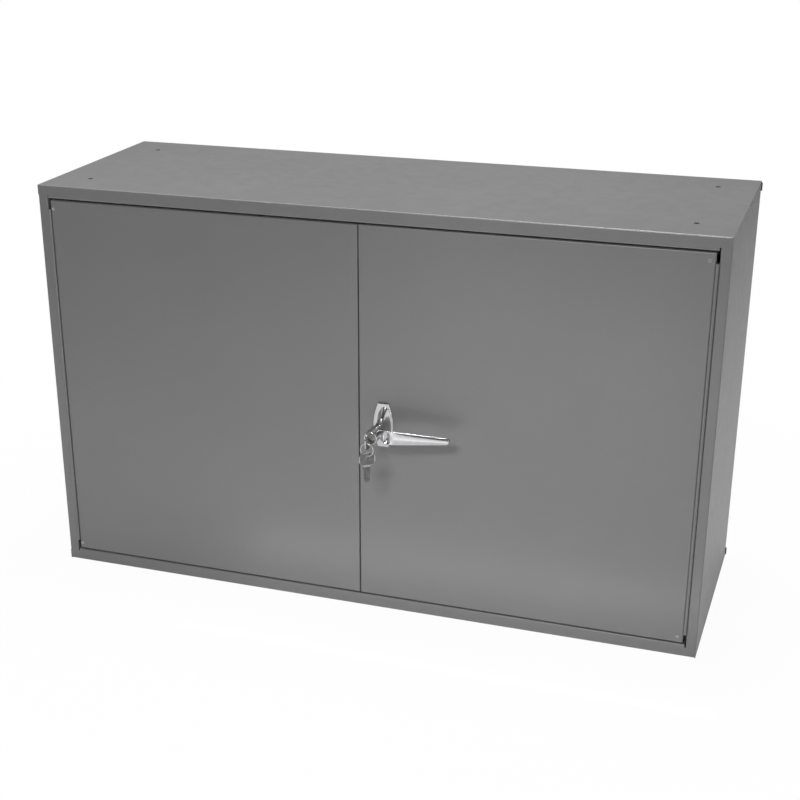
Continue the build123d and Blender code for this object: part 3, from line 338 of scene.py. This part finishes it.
# %% Room
world = bpy.data.worlds.new("studio")
bpy.context.scene.world = world
room = Finish("studio", world)
faint = 0.02
rays = room.node("ShaderNodeLightPath")
heading = room.node("ShaderNodeTexCoord").out("Generated")
sideways = room.node("ShaderNodeSeparateXYZ", {}, {0: heading}).out("X")
right_screen = room.span(sideways, start=0.5, end=0.8, low=0.05, high=1.1, ease="SMOOTHSTEP")
left_screen = room.span(sideways, start=-0.45, end=-0.85, low=0, high=0.55, ease="SMOOTHSTEP")
glow = faint + (right_screen + left_screen) * rays.out("Is Glossy Ray")
mixed = {0: rays.out("Is Camera Ray"), 2: glow, 3: 1.0}
strength = room.node("ShaderNodeMix", {"data_type": "FLOAT"}, mixed)
room.close(room.node("ShaderNodeBackground", {}, {"Color": (1, 1, 1, 1), "Strength": strength}))
bpy.context.scene.view_settings.view_transform = "Standard"
print("room:", len(world.node_tree.nodes), "nodes")

# %% [markdown]
# ## Grey enamel
#
# Enamel sprayed on sheet steel and baked is never quite flat: it has a very fine orange peel, its
# gloss wanders a little, and its grey drifts by a few percent over a panel. A picture of real
# enamel would show its own light and would repeat, so all three come from noise in object space.
# The peel is a bump of a few hundredths of a millimetre, and edges and bends keep the clean
# highlight of folded metal.


# %% Enamel
def enamel(name, grey, roughness=0.38, drift=0.045, wander=0.03):
    """Satin enamel: its grey drifts by a share and its roughness by an amount, either way, and
    a fine peel bends its normal."""
    paint = Finish(name)
    shade = 0.7 * paint.noise(5.0, 3.0) + 0.3 * paint.noise(900.0, 1.0)
    dark = [value * (1 - drift) for value in grey]
    light = [value * (1 + drift) for value in grey]
    return paint.surface(
        Base_Color=paint.tones(paint.spread(shade, 0.0, 1.0), dark, light),
        Roughness=paint.spread(paint.noise(60.0, 3.0), roughness - wander, roughness + wander),
        Normal=paint.bump(paint.noise(420.0), 0.00006, 0.5),
        Specular_IOR_Level=0.9,
    )


finishes = {"grey_paint": enamel("grey_enamel", (0.206, 0.206, 0.206))}
print("enamel:", finishes["grey_paint"].name)

# %% [markdown]
# ## Plated metals
#
# The handle is a die casting under satin chrome, the key and the small hardware are nickel or
# zinc plated, and the lock is brass inside. A plated surface shows little colour of its own: it
# is told apart by how sharp its reflections are, by a fine grain, and by the patches that
# handling leaves. One function makes them all, so that they differ only in these three.


# %% Metals
def plated(name, colour, roughness, wander=0.05, grain=(1, 1, 1), depth=0.00002):
    """A plated metal: a fine grain, closer along an axis by its number in grain, a colour up to a
    tenth darker in patches, and gloss that wanders by a little either way."""
    metal = Finish(name)
    patch = metal.noise(90.0, 3.0)
    lines = metal.noise(1500.0, 2.0, grain)
    dark = [value * 0.9 for value in colour]
    return metal.surface(
        Base_Color=metal.tones(metal.spread(patch, 0.0, 1.0), dark, colour),
        Metallic=1.0,
        Roughness=metal.spread(0.6 * patch + 0.4 * lines, roughness - wander, roughness + wander),
        Normal=metal.bump(lines, depth, 0.4),
    )


fine = 0.00001
metals = {
    "zinc_plate": dict(colour=(0.5, 0.5, 0.5), roughness=0.3, wander=0.07, grain=(1, 1, 6)),
    "satin_chrome": dict(
        colour=(0.54, 0.54, 0.55), roughness=0.19, wander=0.04, grain=(6, 1, 1), depth=fine
    ),
    "nickel": dict(
        colour=(0.43, 0.43, 0.425), roughness=0.26, wander=0.06, grain=(1, 1, 5), depth=fine
    ),
    "spring_steel": dict(colour=(0.56, 0.56, 0.57), roughness=0.28),
    "brass": dict(colour=(0.62, 0.47, 0.24), roughness=0.25),
}
for name, values in metals.items():
    finishes[name] = plated(name, **values)
print("metals:", list(metals))

# %% [markdown]
# ## Magnet, plastic and rubber
#
# The catch's magnet is fired ferrite, its housing is moulded plastic, and the doors close on
# rubber bumpers. All three are close to black and dull, and what tells them apart is their gloss
# and the size of their pits.


# %% Moulded parts
def moulded(name, colour, roughness, pits_per_metre=800.0):
    """A dull non-metal: fine pits that bend its normal and vary its roughness, and a colour that
    drifts to as much as 1.3 times itself."""
    body = Finish(name)
    pits = body.noise(pits_per_metre)
    light = [value * 1.3 for value in colour]
    return body.surface(
        Base_Color=body.tones(body.spread(body.noise(40.0, 3.0), 0.0, 1.0), colour, light),
        Roughness=body.spread(pits, roughness - 0.06, roughness + 0.06),
        Normal=body.bump(pits, 0.00004, 0.5),
    )


dull_parts = {
    "black_ferrite": dict(colour=(0.05, 0.05, 0.055), roughness=0.55, pits_per_metre=500.0),
    "black_plastic": dict(colour=(0.035, 0.035, 0.037), roughness=0.4),
    "bumper_rubber": dict(colour=(0.045, 0.045, 0.045), roughness=0.75, pits_per_metre=1200.0),
}
for name, values in dull_parts.items():
    finishes[name] = moulded(name, **values)
print("moulded:", list(dull_parts))

# %% [markdown]
# ## The spare key's bow
#
# The spare key hangs flat against the light. Its bow gets painted shade over its face and a
# painted highlight along its rim, with patches of the nickel's own wear over both. A picture would
# do for one key, but a distance worked out in the bow's own plane needs no unwrapping and stays sharp at any size.


# %% Bow with painted shade and painted highlight
def bow_painted_light(centre, twist, half_wide, half_tall):
    """Nickel on a key's bow, with painted shade in the middle and a painted highlight along its rim. The bow's
    face is spanned by z and a level direction turned by twist. With u and v from 0 at its centre to 1 at
    its edge, u ** 4 + v ** 4 tells the rim from the middle, and the shaft below gets no painted highlight."""
    metal = Finish("nickel_painted_rim_highlight")
    place = metal.node("ShaderNodeTexCoord").out("Object")
    place = metal.node("ShaderNodeVectorMath", {"operation": "SUBTRACT"}, {0: place, 1: centre})
    x = metal.node("ShaderNodeSeparateXYZ", {}, {0: place})
    z = x.out("Z")
    u = (sin(twist) / half_wide) * x + (cos(twist) / half_wide) * x.out("Y")
    v = (1 / half_tall) * z
    u, v = u * u, v * v
    # The bright rim is a painted highlight and the dark middle is painted shade; only the noise patches are the
    # nickel's own wear.
    rim = metal.span(u * u + v * v, 0.5, 0.8, 0.0, 0.7)
    rim = rim * metal.span(z, -half_tall * 1.2, -half_tall, 0.0, 1.0)
    patch = metal.noise(160.0, 3.0)
    shade = rim + metal.spread(patch, 0.0, 0.14)
    painted_shade, painted_highlight = (0.12, 0.12, 0.12), (0.62, 0.62, 0.61)
    return metal.surface(
        Base_Color=metal.tones(shade, painted_shade, painted_highlight),
        Metallic=1.0,
        Roughness=metal.spread(patch, 0.22, 0.36),
        Normal=metal.bump(metal.noise(1500.0, 2.0, (1, 1, 5)), 0.00002, 0.4),
    )


bow_drop = 0.0039
spare_x, spare_y, spare_z = pivot_of["spare_key_swing"]
bow_centre = (spare_x, spare_y, spare_z - bow_drop)
painted_bow_finish = bow_painted_light(bow_centre, radians(52), half_wide=0.0108, half_tall=0.0091)
print("spare key's bow:", painted_bow_finish.name, "round", [round(value, 4) for value in bow_centre])

# %% [markdown]
# ## Turned forms and smooth curves
#
# The castings have two kinds of surface. A hub, a journal or a rivet is a profile turned about
# its axis, as on a lathe. A blade or a skirt is a row of sections whose places and sizes follow
# smooth curves through a few stations. A plain cubic would swing past its stations and raise
# bumps that a die doesn't have, so the curves here never leave the span between two neighbours.


# %% Turned forms
def joined(*grids):
    """Points and faces of several grids as one mesh."""
    points, faces, start = [], [], 0
    for grid, quads in grids:
        points.append(grid.reshape(-1, 3))
        faces.append(quads + start)
        start += len(points[-1])
    return np.concatenate(points), np.concatenate(faces)


def sharp(*corner):
    """A corner of a profile, given twice so that it stays a crease."""
    return [corner, corner]


def turned(centre, profile, columns=72):
    """Surface of revolution about an axis along y, in millimetres. The profile is (radius, off)
    pairs, where off is a distance in front of the centre, and for an angle a the point is
    centre + (radius cos a, -off, radius sin a)."""
    radius, off = np.array(profile, float).T[:, :, None]
    a = np.linspace(0, 2 * pi, columns, endpoint=False)
    points = np.stack([radius * np.cos(a), 0 * a - off, radius * np.sin(a)], axis=2)
    return (points + np.array(centre)) / 1000, grid_faces(len(profile), columns, closed=True)


print("turned forms: ready")


# %% Smooth curves
def smooth_curve(x, stations):
    """Monotone cubic through stations, given as {place: value}. Its slope at a station is the
    harmonic mean of the two chords' slopes, or 0 where these have opposite signs."""
    place, value = np.array(list(stations.items()), float).T
    chord = np.diff(value) / np.diff(place)
    before, after = chord[:-1], chord[1:]
    alike = before * after > 0
    total = np.where(alike, before + after, 1.0)
    slope = np.where(alike, 2 * before * after / total, 0.0)
    slope = np.concatenate([[chord[0]], slope, [chord[-1]]])
    i = np.clip(np.searchsorted(place, x) - 1, 0, len(place) - 2)
    step = place[i + 1] - place[i]
    t = np.clip((x - place[i]) / step, 0, 1)
    ends = (1 + 2 * t) * (1 - t) ** 2 * value[i] + t * t * (3 - 2 * t) * value[i + 1]
    return ends + step * (t * (1 - t) ** 2 * slope[i] - t * t * (1 - t) * slope[i + 1])


print("smooth curve from 0 to 10, halfway:", smooth_curve(0.5, {0: 0, 1: 10}))

# %% [markdown]
# ## Handle casting
#
# The lever is a die casting: its neck swells out of the round hub into a blade whose face falls
# away to a scoop at the root and whose rims are rounded by the die. It could be carved from a
# block, but its form lies in its sections, so a row of them along the lever gives the blade
# directly.


# %% Lever blade
blade_root = 5.0
blade_end = 97.6
tip_round = 4.5
rim_round = 0.8
face_lean = 0.35


def lever_sections(rows=150, face_columns=34, arc_columns=7):
    """Blade and neck as closed sections at distances x from the axis, in millimetres, closer
    together towards both ends. Top, bottom, front f(x) and back are smooth curves. Across the
    face, at q from 1 (top) to -1 (bottom), the front is f - sink(x) * (1 - q * q) - lean * q.
    Arcs of radius r round both rims, and the section narrows to its flat back. A negative sink
    is a crown, and the tip shrinks as a quarter of an ellipse."""
    x = blade_root + (blade_end - blade_root) * (1 - np.cos(np.linspace(0, pi, rows))) / 2
    upper = {5: 7.0, 10: 8.7, 15: 9.25, 20: 9.1, 40: 8.2, 93: 5.3, 98: 5.0}
    lower = {5: 0.5, 10: -1.6, 13: -5.6, 16: -8.9, 20: -9.2, 40: -7.9, 93: -3.8, 98: -3.5}
    hollow = {5: 0, 13: 0, 14.5: 0.6, 18.5: 3.4, 22.5: 0.3, 36: -0.75, 90: -0.6, 98: -0.2}
    top, bottom, sink = (smooth_curve(x, stations) for stations in (upper, lower, hollow))
    front = smooth_curve(x, {5: 45.6, 11: 46.0, 17: 47.8, 20: 47.7, 97.6: 38.5})
    back = smooth_curve(x, {5: 36.0, 12: 37.4, 18: 41.6, 97.6: 33.0})

    tip = np.clip((x - (blade_end - tip_round)) / tip_round, 0, 1)
    shrink = np.sqrt(np.clip(1 - tip * tip, 0, 1))
    middle, half = (top + bottom) / 2, (top - bottom) / 2 * shrink
    r = np.minimum(rim_round, 0.45 * half)
    flat = half - r
    q = np.linspace(1, -1, face_columns)
    a = np.linspace(0, pi / 2, arc_columns + 1)[1:]
    face_v = flat[:, None] * q
    face_w = -sink[:, None] * (1 - q * q) * shrink[:, None] - face_lean * q
    low_v = -flat[:, None] - r[:, None] * np.sin(a)
    low_w = face_lean - r[:, None] * (1 - np.cos(a))
    rear_v = 0.7 * half[:, None] * np.array([-1.0, -0.5, 0.5, 1.0])
    rear_w = (back - front)[:, None] + 0 * rear_v
    high_v, high_w = -low_v[:, ::-1], low_w[:, ::-1] - 2 * face_lean
    v = np.concatenate([face_v, low_v, rear_v, high_v], axis=1) + middle[:, None]
    w = np.concatenate([face_w, low_w, rear_w, high_w], axis=1) + front[:, None]
    points = np.stack([handle_x + x[:, None] + 0 * v, door_y - w, handle_z + v], axis=2) / 1000
    return points, grid_faces(rows, v.shape[1], closed=True)


blade = lever_sections()
print("blade:", blade[0].shape[:2], "points")

# %% [markdown]
# ## Hub and journal
#
# The hub holds the lock cylinder in a bore and turns in the escutcheon's collar on a thinner
# journal. Both are turned. The journal stops short of the hub by the room of the locking dog,
# which crosses it there. The blade grows out of the hub's side, so all three share one mesh. A
# turned profile ends a hair from its axis, at the pole's radius, where nothing can be seen.

# %% Hub
handle_axis = (handle_x, door_y, handle_z)
hub_radius = 8.7
hub_rim_off = 55.1
hub_rim_round = 0.9
journal_radius = 4.6
dog_back, dog_front = 25.1, 29.7
collar_front = 30.9
lock_bore = 6.6
lock_floor = 38.0
pole = 0.05

bend = np.linspace(0, pi / 2, 6)
hub_rim = np.stack(
    [hub_radius - hub_rim_round * (1 - np.cos(bend)), hub_rim_off + hub_rim_round * np.sin(bend)],
    axis=1,
)
hub_profile = [
    (pole, dog_front),
    *sharp(journal_radius, dog_front),
    *sharp(journal_radius, collar_front),
    (8.0, collar_front),
    (8.6, 31.3),
    (hub_radius, 32.0),
    *hub_rim,
    (7.2, 56.0),
    (6.75, 55.8),
    (lock_bore, 55.4),
    *sharp(lock_bore, lock_floor),
    (2 * pole, lock_floor),
]
journal_profile = [
    (pole, dog_back),
    *sharp(journal_radius, dog_back),
    *sharp(journal_radius, 4.0),
    (pole, 4.0),
]
hub = turned(handle_axis, hub_profile)
journal = turned(handle_axis, journal_profile)
lever = piece_from("lever_casting", *joined(blade, hub, journal), finishes["satin_chrome"])
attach(lever, "handle")
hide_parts("handle_lever")
print("lever:", len(lever.data.polygons), "faces")

# %% [markdown]
# ## Escutcheon
#
# The escutcheon under the hub is a second casting: a long plate with bowed sides and a bevel all
# round, and a skirt that leans from the right half of the plate up to the round collar. The plate
# is its outline repeated, drawn in at each step of the bevel, and the skirt is a stack of ovals.
# Scaling the outline would be simpler, but then the bevel would be wider at the ends than at the
# sides.

# %% Plate
plate_low, plate_high = node_box("escutcheon")
plate_x, _, plate_z = (plate_low + plate_high) / 2
half_length = (plate_high[2] - plate_low[2]) / 2
half_waist = 13.5
half_end = 7.0
plate_edge = 2.2
plate_front = 3.2


def plate_rings(rings, side_points=40, end_points=12):
    """Rings of the plate's outline, in millimetres: each side is an arc through the ends and the
    waist, and straight ends join the sides. A ring is an (inset, off) pair: it is drawn in by its
    inset and stands off the door."""
    bow = (half_length**2 + (half_waist - half_end) ** 2) / (2 * (half_waist - half_end))
    inset, off = np.array(rings, float).T[:, :, None]
    tall = half_length - inset
    rise = np.linspace(-1, 1, side_points) * tall
    side = np.maximum(half_waist - bow + np.sqrt(bow**2 - rise * rise) - inset, 0.05)
    cross = np.linspace(1, -1, end_points)[1:-1]
    x = [side, side[:, -1:] * cross, -side[:, ::-1], -side[:, :1] * cross]
    z = [rise, tall + 0 * cross, -rise, -tall + 0 * cross]
    x, z = np.concatenate(x, axis=1), np.concatenate(z, axis=1)
    points = np.stack([plate_x + x, door_y - off + 0 * x, plate_z + z], axis=2) / 1000
    return points, grid_faces(len(rings), x.shape[1], closed=True)


bevelled = [(0, 0), *sharp(0, plate_edge), *sharp(1.0, plate_front), (6.5, plate_front)]
plate_grid = plate_rings([*bevelled, (9.5, plate_front)])
print("plate:", plate_grid[0].shape[:2], "points")


# %% Skirt
skirt_foot = 2.6
collar_end = 30.6
collar_bore = 4.66
dog_chamber = 6.3


def skirt_rings(rows=60, columns=96):
    """Skirt from the plate to the collar as ovals at distances w off the door, in millimetres.
    Its centre, c(w) across and h(w) up, half width and half height are smooth curves. The
    bore goes back down inside it, with a wider chamber for the locking dog."""
    w = skirt_foot + (collar_end - skirt_foot) * np.linspace(0, 1, rows) ** 1.3
    c = handle_x + smooth_curve(w, {2.6: 1.0, 6: 0.9, 17: 0.1, 30.6: 0})[:, None]
    h = handle_z + smooth_curve(w, {2.6: -1.6, 17: -0.2, 30.6: 0})[:, None]
    half_wide = smooth_curve(w, {2.6: 10.6, 5: 8.9, 9: 7.4, 15: 6.8, 30.6: 7.2})[:, None]
    half_tall = {2.6: 26.0, 5: 22.0, 9: 16.5, 15: 10.5, 22: 7.4, 30.6: 7.2}
    half_tall = smooth_curve(w, half_tall)[:, None]
    a = np.linspace(0, 2 * pi, columns, endpoint=False)
    x, z = c + half_wide * np.cos(a), h + half_tall * np.sin(a)
    skirt = np.stack([x, door_y - w[:, None] + 0 * x, z], axis=2)

    bore = [*sharp(collar_bore, collar_end), *sharp(collar_bore, dog_front)]
    bore += [*sharp(dog_chamber, dog_front), *sharp(dog_chamber, dog_back)]
    bore += [*sharp(collar_bore, dog_back), (collar_bore, 1.6)]
    radius, off = np.array(bore).T[:, :, None]
    x, z = handle_x + radius * np.cos(a), handle_z + radius * np.sin(a)
    inside = np.stack([x, door_y - off + 0 * x, z], axis=2)
    points = np.concatenate([skirt, skirt[-1:], inside]) / 1000
    return points, grid_faces(len(points), columns, closed=True)


both = joined(plate_grid, skirt_rings())
plate = piece_from("escutcheon_casting", *both, finishes["satin_chrome"])
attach(plate, "right_door")
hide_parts("escutcheon")
print("escutcheon:", len(plate.data.polygons), "faces")

# %% [markdown]
# ## Blind rivets
#
# Two blind rivets hold the gussets at the outer corners of each door. Each keeps the hollow that
# its mandrel leaves when it snaps off, and the set tail behind the gusset. A rivet is round, so a
# single profile turned about its axis has all of it, and every head is the same.


# %% Rivets
head_radius = 2.3


def rivet_profile(rise=0.8, bore=1.15, shank=1.4, tail=1.7):
    """Profile from the tail to the bottom of the hollow, as (radius, off) pairs in millimetres.
    The dome falls from the lip of the hollow to the edge as rise * (1 - 0.9 * u ** 2.4), for u
    from 0 to 1."""
    u = np.linspace(1, 0, 9)
    dome = np.stack([bore + (head_radius - bore) * u, rise * (1 - 0.9 * u**2.4)], axis=1)
    rear = [(pole, -4.9), (tail, -4.9), (tail, -2.7), (shank, -2.7), (shank, 0)]
    edge = [(head_radius, 0), (head_radius, 0.08)]
    hollow = [(bore * 0.94, rise * 0.8), (bore * 0.9, -1.2), (pole, -1.3)]
    return [*rear, *edge, *dome, *hollow]


def rivet_places(node):
    """Places of the two rivets of a node, to a tenth of a millimetre: x in the middle of the
    node's box, and z a head's radius within its ends."""
    low, high = node_box(node)
    x = (low[0] + high[0]) / 2
    return [(x, door_y, round(z, 1)) for z in (low[2] + head_radius, high[2] - head_radius)]


for side in ("left_door", "right_door"):
    places = rivet_places(side + "_rivets")
    heads = [turned(place, rivet_profile(), 32) for place in places]
    rivets = piece_from(side + "_rivet_heads", *joined(*heads), finishes["zinc_plate"])
    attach(rivets, side)
    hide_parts(side + "_rivets")
    print(side, "rivets:", len(heads))

# %% [markdown]
# ## Dressing the frame
#
# The record of the imported model says which finish each node has, so the nodes are dressed by it.
# Only the spare key has a finish of its own, with painted shade on its bow and a painted highlight along the bow's
# rim.

# %% Dress
slot_of = {entry["node"]: entry["material_slot"] for entry in frame["record"]["subparts"]}
for name, node in nodes.items():
    finish = painted_bow_finish if name == "spare_key" else finishes[slot_of[name]]
    for material_slot in node.material_slots:
        material_slot.material = finish
print("dressed:", len(nodes), "nodes in", len(set(slot_of.values())), "finishes")
